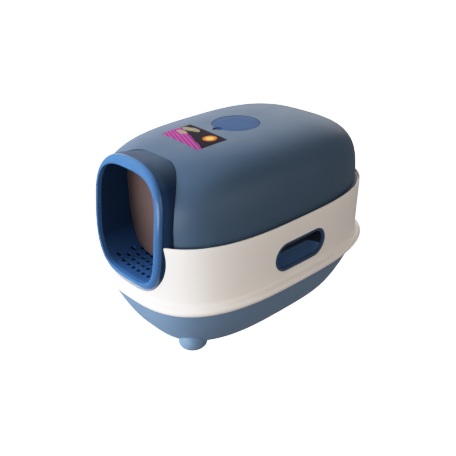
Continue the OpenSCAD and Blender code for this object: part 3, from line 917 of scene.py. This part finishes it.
def finish_of(name):
    """A finish by its name, made once."""
    made = bpy.data.materials.get(name)
    if made:
        return made
    colour = group("colours")
    makers = {
        "hood_plastic": lambda: moulded(name, colour.hood, 0.46, 1.0, specular=0.25),
        "base_plastic": lambda: moulded(name, colour.base, 0.48, 1.0, scuff=0.8, specular=0.25),
        "ring_plastic": lambda: moulded(name, colour.ring, 0.34, 0.6, scuff=0.3),
        "tunnel_plastic": lambda: two_tone(name, colour.rim, colour.tunnel),
        "trim_plastic": lambda: moulded(name, colour.trim, 0.42, 0.8, specular=0.2),
        "pocket_plastic": lambda: pocketed(name, colour.trim),
        "cover_plastic": lambda: moulded(name, colour.cover, 0.6, 0.8, specular=0.12),
        "tray_plastic": lambda: moulded(name, colour.tray, 0.45, 0.8, scuff=1.0),
        "smoked_plastic": lambda: smoked(name, colour.flap),
        "turned_steel": lambda: turned_steel(name),
        "carbon_fleece": lambda: fleece(name),
        "label_print": lambda: printed_label(name),
        "floor_white": lambda: studio_floor(name),
    }
    return makers[name]()


# Pieces


class LITTERBOX_OT_base(bpy.types.Operator):
    """Models the base with its foot stubs and drawer window"""

    bl_idname = "litterbox.base"
    bl_label = "Base"

    def execute(self, context):
        body = group("body")
        pocket = group("pockets")
        shares = base_shares()[:-1]
        outside = [base_side(share) for share in shares]
        inside = [base_side(share, body.wall) for share in reversed(shares)]
        rim = body.base_rim
        edge = [(body.base_inset, rim - 0.8 * MM), (body.base_inset + 0.3 * MM, rim - 0.2 * MM)]
        edge += [(body.base_inset + 0.9 * MM, rim), (body.base_inset + body.wall, rim)]
        shell = draw_out("base_body", [plan_inside(*p) for p in outside + edge + inside])
        for node in FEET:
            low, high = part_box(node)
            radius = (high.x - low.x) / 2
            rise = [
                (radius * math.cos(t), FOOT_HEIGHT + STUB_HEIGHT * math.sin(t))
                for t in angles(0, 84, 15)
            ]
            stub = draw_out("stub", [circle((low + high) / 2, r, z) for r, z in rise])
            cut(stub, draw_out("hollow", base_block_outlines(body.wall)))
            join_with(shell, stub, "UNION")
        window = block(
            "window",
            (-pocket.drawer_half, pocket.drawer_rear, pocket.drawer_low),
            (pocket.drawer_half, body.half_length, pocket.drawer_high),
        )
        cut(shell, window)
        fit(shell, "base", "base_blue", "base_plastic", "base_shell")
        return {"FINISHED"}


class LITTERBOX_OT_feet(bpy.types.Operator):
    """Models the four round feet"""

    bl_idname = "litterbox.feet"
    bl_label = "Feet"

    def execute(self, context):
        for node in FEET:
            low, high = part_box(node)
            bulge = (high.x - low.x) / 2 - FOOT_FLAT
            curve = [(FOOT_FLAT * 0.6, 0.0), (FOOT_FLAT, 0.0)]
            for turn in angles(8, 90, 12):
                z = FOOT_HEIGHT * (1 - math.cos(turn))
                curve.append((FOOT_FLAT + bulge * math.sin(turn), z))
            curve += [(SPIGOT_RADIUS, FOOT_HEIGHT), (SPIGOT_RADIUS, high.z)]
            loops = [circle((low + high) / 2, r, z) for r, z in curve]
            foot = draw_out(node.replace("foot", "foot_cap"), loops)
            fit(foot, "base", "base_blue", "base_plastic", node)
        return {"FINISHED"}


def tunnel_outside(gap, rear):
    """Outlines round the outside of the tunnel, from its rear to its rim, grown by a gap."""
    door = group("entrance")
    loops = [on_plane(rim_edge(gap, door.draft, 10.5 * MM), rear)]
    for share in steps(1, 0, 9):
        flare = door.draft * math.sin(math.pi / 2 * share) ** 1.25
        loops.append(on_face(rim_edge(gap, flare, 2.1 * MM * share), door.lip + 15 * MM * share))
    return loops


def port_plug(gap):
    """The room that the tunnel takes, grown by a gap."""
    ahead = on_plane(rim_edge(gap), -group("body").half_length - 2 * MM)
    return draw_out("plug", tunnel_outside(gap, group("entrance").rear + 0.2 * MM) + [ahead])


def hinge_part(name, across, radius, width):
    """A round bar or cutter along the flap's hinge."""
    place = (across, HINGE_Y, group("entrance").hinge)
    return drum(name, place, radius, width, (0, math.pi / 2, 0), PIN_STEPS)


def slot_cutter(length, height, x_from, x_to, z):
    """A cutter along X with a slot's outline."""
    outline = slot_outline(length, height)
    ends = [[Vector((x, across, z + up)) for across, up in outline] for x in (x_from, x_to)]
    return draw_out("slot", ends)


class LITTERBOX_OT_ring(bpy.types.Operator):
    """Models the white ring with its notch, saddle and grip holes"""

    bl_idname = "litterbox.ring"
    bl_label = "Ring"

    def execute(self, context):
        body = group("body")
        hood = group("hood")
        pocket = group("pockets")
        ring = draw_out("ring_body", [plan_inside(*p) for p in ring_outside()])
        void = draw_out("void", [plan_inside(*p) for p in ring_inside()])
        saddle = port_plug(TUNNEL_FIT + body.wall)
        low = (-body.half_width, -body.half_length - 4 * MM, 0.0)
        high = (body.half_width, -body.half_length + 27 * MM, hood.seat - 0.3 * MM)
        join_with(saddle, block("limit", low, high), "INTERSECT")
        cut(void, saddle)
        cut(ring, void)
        cut(ring, port_plug(TUNNEL_FIT))
        reach = body.half_width + MM
        inner = body.half_width - body.waist - 3 * body.wall
        for side in (-1, 1):
            size = (pocket.grip_length + GRIP_FIT, pocket.grip_height + GRIP_FIT)
            cut(ring, slot_cutter(*size, side * inner, side * reach, pocket.grip_middle))
        fit(ring, "ring", "ring_white", "ring_plastic", "middle_ring")
        return {"FINISHED"}


def pocket_outlines(size, levels, surface):
    """Outlines of a recessed grip: each level has an inset, a depth or a plane, and a lift."""
    loops = []
    for inset, depth, plane, lift in levels:
        outline = slot_outline(size[0] - 2 * inset, size[1] - 2 * inset - lift)
        loops.append([surface(across, up + lift / 2, depth, plane) for across, up in outline])
    return loops


def pocket_levels(bezel, back, wall, flange=0.0, rise=0.0):
    """The way round a recessed grip's section: from its back, over the bezel, to its floor."""
    levels = [(0.4 * MM, 0.0, back), (0.0, 0.0, back + 0.4 * MM)]
    if flange:
        inner, outer = 5.4 * MM, 3.5 * MM
        levels += [(0.0, inner, None), (-flange, inner, None)]
        levels += [(-flange, outer, None), (0.0, outer, None)]
    proud = 0.15 * MM
    for turn in angles(0, 90, 5):
        edge = 1.3 * MM
        levels.append((edge * (1 - math.cos(turn)), edge * (1 - math.sin(turn)) + proud, None))
    for turn in angles(90, 0, 5):
        edge = 1.8 * MM
        inset = bezel - edge * (1 - math.cos(turn))
        levels.append((inset, edge * (1 - math.sin(turn)) + proud, None))
    levels = [(*level, 0.0) for level in levels]
    floor = back + wall
    levels.append((bezel + 0.2 * MM, 0.0, floor + 4 * MM, rise * 0.86))
    for turn in angles(20, 90, 4):
        inset = bezel + 0.2 * MM + 3 * MM * (1 - math.cos(turn))
        levels.append((inset, 0.0, floor + 3 * MM * (1 - math.sin(turn)), rise))
    return levels


class LITTERBOX_OT_grips(bpy.types.Operator):
    """Models the recessed grips in the ring's sides"""

    bl_idname = "litterbox.grips"
    bl_label = "Side Grips"

    def execute(self, context):
        body = group("body")
        pocket = group("pockets")
        size = (pocket.grip_length, pocket.grip_height)
        levels = pocket_levels(
            pocket.bezel, pocket.grip_back, body.wall, GRIP_FLANGE, pocket.grip_rise
        )
        for side, name in ((-1, "left"), (1, "right")):

            def surface(across, up, depth, plane):
                z = pocket.grip_middle + up
                inset = ring_inset(z)
                share = 1 - abs(across / (body.half_length - inset)) ** body.plan_power
                x = (body.half_width - inset) * share ** (1 / body.plan_power) - depth
                return Vector((side * (x if plane is None else plane), across, z))

            grip = draw_out(f"hand_grip_{name}", pocket_outlines(size, levels, surface))
            fit(grip, "ring", "trim_navy", "pocket_plastic", f"grip_{name}", angle=40)
        return {"FINISHED"}


class LITTERBOX_OT_drawer(bpy.types.Operator):
    """Models the drawer's front and its recessed grip"""

    bl_idname = "litterbox.drawer"
    bl_label = "Drawer Front"

    def execute(self, context):
        body = group("body")
        pocket = group("pockets")
        far = body.half_length

        def window(name, gap, forward=0.0):
            low = (gap - pocket.drawer_half, pocket.drawer_rear - forward, pocket.drawer_low + gap)
            return block(name, low, (pocket.drawer_half - gap, far, pocket.drawer_high - gap))

        front = draw_out("drawer_face", base_block_outlines(0.0))
        join_with(front, window("outside", pocket.drawer_gap), "INTERSECT")
        hollow = draw_out("hollow", base_block_outlines(body.wall))
        join_with(hollow, window("inside", pocket.drawer_gap + body.wall, MM), "INTERSECT")
        cut(front, hollow)
        z = (pocket.drawer_low + pocket.drawer_high) / 2
        outline = slot_outline(pocket.pull_length + GRIP_FIT, pocket.pull_height + GRIP_FIT)
        ends = (pocket.drawer_rear + body.wall, far)
        hole = draw_out("hole", [[Vector((x, y, z + up)) for x, up in outline] for y in ends])
        cut(front, hole)
        fit(front, "drawer", "base_blue", "base_plastic", "drawer_front")

        def surface(across, up, depth, plane):
            inset = base_inset(z + up)
            share = 1 - abs(across / (body.half_width - inset)) ** body.plan_power
            y = (body.half_length - inset) * share ** (1 / body.plan_power) - depth
            return Vector((across, y if plane is None else plane, z + up))

        size = (pocket.pull_length, pocket.pull_height)
        levels = pocket_levels(3 * MM, pocket.drawer_rear + 20 * MM, 2.5 * MM)
        pull = draw_out("drawer_pull", pocket_outlines(size, levels, surface))
        fit(pull, "drawer", "trim_navy", "trim_plastic", "drawer_grip", angle=40)
        return {"FINISHED"}


class LITTERBOX_OT_hood(bpy.types.Operator):
    """Models the hood with its port and the recess for the filter cover"""

    bl_idname = "litterbox.hood"
    bl_label = "Hood"

    def execute(self, context):
        body = group("body")
        hood = group("hood")
        degrees = [0.6, 1.6, 3, 5, 8, 11, 15, 19, 23, 28, 33, 38, 43, 48, 53, 58, 62, 66, 70, 74]
        degrees += [77, 80, 82.5, 84.5, 86, 87.3, 88.3, 89.2, 89.8]
        turns = [math.radians(d) for d in degrees]
        inside = [dome(body.wall, t) for t in reversed(turns)]
        seat = hood.seat
        out = hood.inset - hood.flange
        flange = [(hood.inset + body.wall, seat), (out + 0.5 * MM, seat), (out, seat + 0.5 * MM)]
        flange += [(out, seat + 1.5 * MM), (out + 0.5 * MM, seat + 2 * MM)]
        flange += [(hood.inset, seat + 2.6 * MM)]
        outside = [dome(0.0, t) for t in turns[1:]]
        shell = draw_out("hood_dome", inside + [plan_inside(*p) for p in flange] + outside)
        middle = (0.0, hood.lid_back)
        floor = hood.lid_top - LID_DEPTH
        recess = hood.lid_radius + 0.5 * MM
        boss_top = hood.seat + hood.rise - 2.4 * MM
        boss_low = floor - body.wall
        place = (*middle, (boss_low + boss_top) / 2)
        boss = drum("boss", place, recess + 8 * MM, boss_top - boss_low)
        join_with(shell, boss, "UNION")
        cut(shell, port_plug(hood.seam))
        high = hood.lid_top + CUTTER_REACH
        cut(shell, drum("recess", (*middle, (floor + high) / 2), recess, high - floor))
        cup = drum("cup", (*middle, floor), hood.cup_radius + 0.4 * MM, 3 * body.wall)
        cut(shell, cup)
        low = hood.lid_top - NOTCH_DEPTH
        front = hood.lid_back - hood.lid_radius
        cut(shell, drum("notch", (0.0, front, (low + high) / 2), hood.notch, high - low))
        fit(shell, "hood", "hood_blue", "hood_plastic", "hood_shell")
        return {"FINISHED"}


class LITTERBOX_OT_tunnel(bpy.types.Operator):
    """Models the entrance tunnel with its rolled rim and floor holes"""

    bl_idname = "litterbox.tunnel"
    bl_label = "Entrance Tunnel"

    def execute(self, context):
        body = group("body")
        door = group("entrance")
        wall = body.wall
        edge = rim_edge()
        hole = opening()
        loops = tunnel_outside(0.0, door.rear)
        for turn in angles(0, 180, 19)[1:]:
            share = (1 - math.cos(turn)) / 2
            side = abs(2 * share - 1)
            curl = door.lip - door.slope if share < 0.5 else door.edge
            depth = door.slope * (1 - share) ** 1.4 + curl * (1 - (1 - side**2.6) ** (1 / 2.6))
            loops.append(on_face(between(edge, hole, share), depth))
        loops.append(on_plane(hole, door.rear - 0.4 * MM))
        loops.append(on_plane(opening(0.5 * MM), door.rear))
        loops.append(on_plane(opening(wall), door.rear))
        loops.append(on_face(opening(wall), door.edge + wall))
        loops.append(on_face(rim_edge(-wall), door.lip + wall))
        loops.append(on_face(rim_edge(-wall, door.draft, 2.1 * MM), door.lip + 18 * MM))
        loops.append(on_plane(rim_edge(-wall, door.draft, 10.5 * MM), door.rear))
        tunnel = draw_out("entrance_port", loops, closed=True)
        for side in (-1, 1):
            across = side * (door.neck + 12 * MM)
            join_with(tunnel, hinge_part("boss", across, BOSS_RADIUS, 20 * MM), "UNION")
            cut(tunnel, hinge_part("bore", across - side * 2 * MM, BOSS_BORE, 18 * MM))
        half = door.half_width - RELIEF_MARGIN
        low = (-half, door.front + wall, 0.0)
        high = (half, door.rear + 0.1, door.sill - wall - MM)
        cut(tunnel, block("relief", low, high))
        for row in range(4):
            for number in range(-4, 5):
                x = (number + (row + 1) % 2 / 2) * door.hole_pitch
                if abs(x) < door.half_width - HOLE_MARGIN:
                    place = (x, HINGE_Y - row * door.row_pitch, door.sill)
                    cut(tunnel, drum("hole", place, door.hole, 40 * MM, sides=HOLE_STEPS))
        fit(tunnel, "hood", "port_blue", "tunnel_plastic", "entry_tunnel")
        return {"FINISHED"}


class LITTERBOX_OT_flap(bpy.types.Operator):
    """Models the smoked flap with its hinge barrel"""

    bl_idname = "litterbox.flap"
    bl_label = "Flap"

    def execute(self, context):
        door = group("entrance")
        shoulder = door.hinge - SHOULDER_DROP
        half = 1.2 * MM
        outline = [(x, z) for x, z in opening(-door.flap_gap) if z < shoulder]
        start = min(range(len(outline)), key=lambda i: (outline[i][0] > 0, -outline[i][1]))
        outline = outline[start:] + outline[:start]
        side = outline[-1][0]
        neck = [(side, shoulder), (door.neck, shoulder), (door.neck, door.hinge)]
        outline += neck + [(-x, z) for x, z in reversed(neck)]
        faces = [on_plane(outline, y) for y in (HINGE_Y + half, HINGE_Y - half)]
        flap = draw_out("swing_flap", faces)
        soften(flap, 0.5 * MM)
        join_with(flap, hinge_part("barrel", 0.0, BARREL_RADIUS, 2 * door.neck), "UNION")
        for side in (-1, 1):
            cut(flap, hinge_part("bore", side * (door.neck - 5.5 * MM), BARREL_BORE, 13 * MM))
        fit(flap, "flap", "flap_brown", "smoked_plastic", "flap_panel")
        return {"FINISHED"}


class LITTERBOX_OT_cover(bpy.types.Operator):
    """Models the round filter cover with its finger notch"""

    bl_idname = "litterbox.cover"
    bl_label = "Filter Cover"

    def execute(self, context):
        hood = group("hood")
        top = hood.lid_top
        radius = hood.lid_radius
        plug = hood.cup_radius - 6 * MM
        middle = (0.0, hood.lid_back)
        under = top - 3.6 * MM
        bevel = 0.3 * MM
        curve = [(plug * 0.98, LID_LOW.z), (plug, LID_LOW.z + bevel), (plug, under)]
        curve += [(radius - bevel, under), (radius, under + bevel), (radius, top - LID_EDGE)]
        for turn in angles(20, 90, 5):
            inset = LID_EDGE * (1 - math.cos(turn))
            curve.append((radius - inset, top - LID_EDGE * (1 - math.sin(turn))))
        curve.append((radius * 0.5, top))
        cover = draw_out("filter_cover", [circle(middle, r, z) for r, z in curve])
        place = (0.0, hood.lid_back - radius, top - NOTCH_DEPTH + CUTTER_REACH / 2)
        cut(cover, drum("notch", place, hood.notch, CUTTER_REACH))
        fit(cover, "lid", "lid_blue", "cover_plastic", "filter_lid")
        return {"FINISHED"}


class LITTERBOX_OT_label(bpy.types.Operator):
    """Lays a printed label over the front of the hood"""

    bl_idname = "litterbox.label"
    bl_label = "Label"

    def execute(self, context):
        size = group("label")
        clear_selection()
        bpy.ops.mesh.primitive_grid_add(x_subdivisions=36, y_subdivisions=22, size=1)
        label = added("hood_label")
        turn = Matrix.Rotation(size.turn, 2)
        for vertex in label.data.vertices:
            flat = turn @ Vector((vertex.co.x * size.length, vertex.co.y * size.height))
            flat += Vector(size.place)
            vertex.co = (flat.x, flat.y, dome_height(flat.x, flat.y) + LABEL_LIFT)
        pick(label)
        film = label.modifiers.new("Film", "SOLIDIFY")
        film.thickness = LABEL_FILM
        film.offset = 1.0
        bpy.ops.object.modifier_apply(modifier=film.name)
        smooth(label, 28.0)
        settle(label)
        label.data.materials.append(finish_of("label_print"))
        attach(label, "hood")
        return {"FINISHED"}


class LITTERBOX_OT_hidden_parts(bpy.types.Operator):
    """Finishes the tray, runners, sieve pan, filter cup, filter and pins"""

    bl_idname = "litterbox.hidden_parts"
    bl_label = "Tray, Sieve and Filter"

    def execute(self, context):
        pale = ("drawer_tray", "runner_left", "runner_right", "sieve_pan", "filter_cup")
        finishes = dict.fromkeys(pale, "tray_plastic") | {"carbon_filter": "carbon_fleece"}
        finishes |= dict.fromkeys(("flap_pin_left", "flap_pin_right"), "turned_steel")
        for node, finish in finishes.items():
            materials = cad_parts[node].data.materials
            if not materials:
                materials.append(finish_of(finish))
            for number in range(len(materials)):
                materials[number] = finish_of(finish)
        return {"FINISHED"}


def soft_light(name, place, target, size, power, colour, mirrored):
    """A large soft light that looks at a point, and may show in glossy surfaces."""
    clear_selection()
    bpy.ops.object.light_add(type="AREA", location=place)
    light = added(name)
    light.data.shape = "RECTANGLE"
    light.data.size = size[0]
    light.data.size_y = size[1]
    light.data.energy = power
    light.data.color = colour
    light.rotation_euler = (Vector(target) - Vector(place)).to_track_quat("-Z", "Y").to_euler()
    light.visible_camera = False
    light.visible_glossy = mirrored


def soft_highlights(view, white):
    """Shows light up to a white level, with bright tones eased in and the rest as they are."""
    view.view_transform = "Standard"
    view.use_curve_mapping = True
    mapping = view.curve_mapping
    mapping.white_level = (white, white, white)
    curve = mapping.curves[3]
    for light, tone in TONES:
        curve.points.new(light / white, tone)
    mapping.update()


def backdrop(name, unseen):
    """Makes the surface just added white, and unseen by some kinds of ray."""
    surface = added(name)
    surface.data.materials.append(finish_of("floor_white"))
    for ray in unseen:
        setattr(surface, "visible_" + ray, False)
    return surface


class LITTERBOX_OT_studio(bpy.types.Operator):
    """Adds the floor, the soft lights and the camera"""

    bl_idname = "litterbox.studio"
    bl_label = "Studio"

    def execute(self, context):
        studio = group("studio")
        clear_selection()
        bpy.ops.mesh.primitive_plane_add(size=40, location=(0, 0, 0))
        floor = backdrop("studio_floor", ("diffuse", "glossy"))
        clear_selection()
        bpy.ops.mesh.primitive_cylinder_add(
            vertices=96, radius=19.9, depth=30, end_fill_type="NOTHING", location=(0, 0, 14)
        )
        wall = backdrop("studio_wall", ("diffuse", "glossy", "transmission", "shadow"))
        lights = (
            ("key", (-1.3, -2.7, 1.25), (0, 0, 0.2), (1.8, 1.5), COOL, False),
            ("top", (-0.3, -0.2, 2.6), (0, 0, 0.2), (2.0, 2.0), WHITE, True),
            ("back", (-2.3, 2.0, 1.5), (0, 0, 0.3), (5.0, 2.4), WHITE, True),
            ("low", (-0.8, -1.75, 0.14), (0, -0.2, 0.08), (1.2, 0.26), COOL, False),
            ("left", (-2.3, -1.3, 2.2), (-0.05, -0.1, 0.3), (1.6, 1.6), COOL, False),
            ("side", (3.0, 0.5, 0.95), (0, 0, 0.2), (3.0, 2.0), WARM, True),
            ("kick", (0.34, -1.03, 0.26), (0.08, -0.26, 0.28), (0.50, 0.40), WHITE, True),
        )
        for name, place, target, size, colour, mirrored in lights:
            power = getattr(studio, name + "_power")
            soft_light(name + "_light", place, target, size, power, colour, mirrored)
        world = bpy.data.worlds.new("studio_air")
        world.use_nodes = True
        air = world.node_tree.nodes["Background"].inputs
        air["Color"].default_value = AIR_COLOUR
        air["Strength"].default_value = AIR_STRENGTH
        context.scene.world = world
        soft_highlights(context.scene.view_settings, studio.white)
        bpy.ops.object.camera_add(location=studio.camera_place)
        camera = added("studio_camera")
        camera.data.lens = studio.lens
        camera.data.sensor_width = CAMERA_FILM
        camera.data.clip_start = 0.01
        up = CAMERA_BACK.cross(CAMERA_RIGHT)
        turned = Matrix((CAMERA_RIGHT, up, CAMERA_BACK)).transposed()
        camera.rotation_euler = turned.to_euler()
        context.scene.camera = camera
        return {"FINISHED"}


OPERATORS = (
    LITTERBOX_OT_base,
    LITTERBOX_OT_feet,
    LITTERBOX_OT_ring,
    LITTERBOX_OT_grips,
    LITTERBOX_OT_drawer,
    LITTERBOX_OT_hood,
    LITTERBOX_OT_tunnel,
    LITTERBOX_OT_flap,
    LITTERBOX_OT_cover,
    LITTERBOX_OT_label,
    LITTERBOX_OT_hidden_parts,
    LITTERBOX_OT_studio,
)

GROUPS = {
    "body": BodySizes,
    "hood": HoodSizes,
    "entrance": EntranceSizes,
    "pockets": PocketSizes,
    "label": LabelSizes,
    "colours": BoxColours,
    "studio": StudioSettings,
}


class LITTERBOX_PT_sidebar(bpy.types.Panel):
    """Lists the litter box's pieces and settings"""

    bl_label = "Litter Box"
    bl_idname = "LITTERBOX_PT_sidebar"
    bl_space_type = "VIEW_3D"
    bl_region_type = "UI"
    bl_category = "Litter Box"

    def draw(self, context):
        column = self.layout.column(align=True)
        for operator in OPERATORS:
            column.operator(operator.bl_idname)
        for name, settings in GROUPS.items():
            box = self.layout.box()
            box.label(text=name.title())
            for field in settings.__annotations__:
                box.prop(group(name), field)


def register():
    for name, settings in GROUPS.items():
        bpy.utils.register_class(settings)
        setattr(bpy.types.Scene, "litter_box_" + name, PointerProperty(type=settings))
    for item in (*OPERATORS, LITTERBOX_PT_sidebar):
        bpy.utils.register_class(item)


def unregister():
    for item in (LITTERBOX_PT_sidebar, *reversed(OPERATORS)):
        bpy.utils.unregister_class(item)
    for name, settings in reversed(GROUPS.items()):
        delattr(bpy.types.Scene, "litter_box_" + name)
        bpy.utils.unregister_class(settings)


def main():
    register()
    for operator in OPERATORS:
        family, action = operator.bl_idname.split(".")
        getattr(getattr(bpy.ops, family), action)()


if __name__ == "__main__":
    main()
